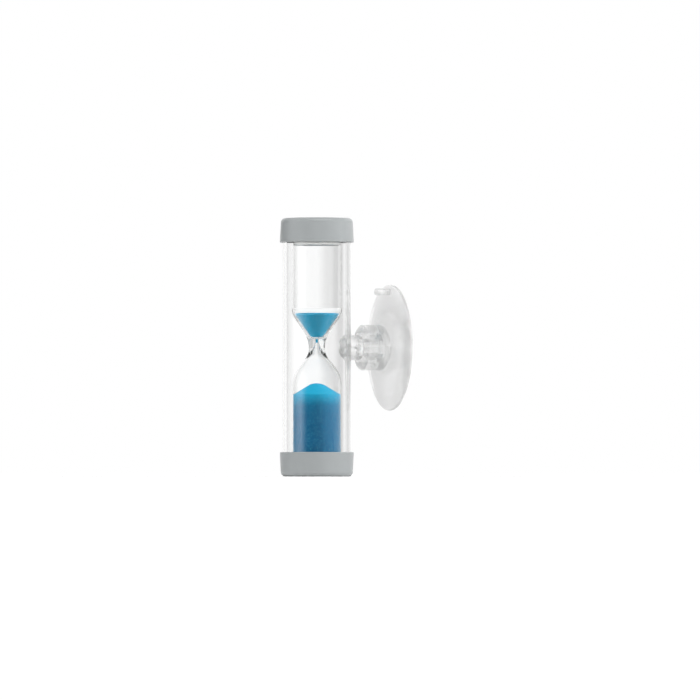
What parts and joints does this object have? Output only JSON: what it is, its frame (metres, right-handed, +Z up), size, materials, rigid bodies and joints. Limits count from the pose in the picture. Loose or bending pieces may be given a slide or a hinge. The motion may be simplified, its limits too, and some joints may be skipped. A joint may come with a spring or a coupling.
{
  "type": "sand timer",
  "caption": "Sand timer in a clear tube with round caps, turning over on a pivot in a clear suction cup that holds it to a wall or pane.",
  "frame": {"origin": "centre of the suction face, where the pivot's axis meets the wall", "axes": "+Z up along the timer's tube at rest, +Y into the wall along the pivot's axis, +X to the right as seen from the room"},
  "size_m": [0.045, 0.0413, 0.092],
  "materials": {
    "clear_tube": "gloss",
    "grey_cap": "satin",
    "vial_glass": "polished",
    "plug_rubber": "matte",
    "foam_pad": "matte",
    "blue_sand": "matte",
    "clear_stud": "gloss",
    "clear_pvc": "gloss"
  },
  "bodies": {
    "wall_cup": {"suction_cup": "clear_pvc"},
    "timer": {"outer_tube": "clear_tube", "top_cap": "grey_cap", "bottom_cap": "grey_cap", "glass_vial": "vial_glass", "vial_plug": "plug_rubber", "top_pad": "foam_pad", "bottom_pad": "foam_pad", "upper_sand": "blue_sand", "lower_sand": "blue_sand", "pivot_stud": "clear_stud"}
  },
  "joints": [
    {"name": "timer_turn", "type": "hinge", "parent": "wall_cup", "child": "timer", "pos_m": [0, -0.0078, 0], "axis": [0, 1, 0], "continuous": true}
  ]
}
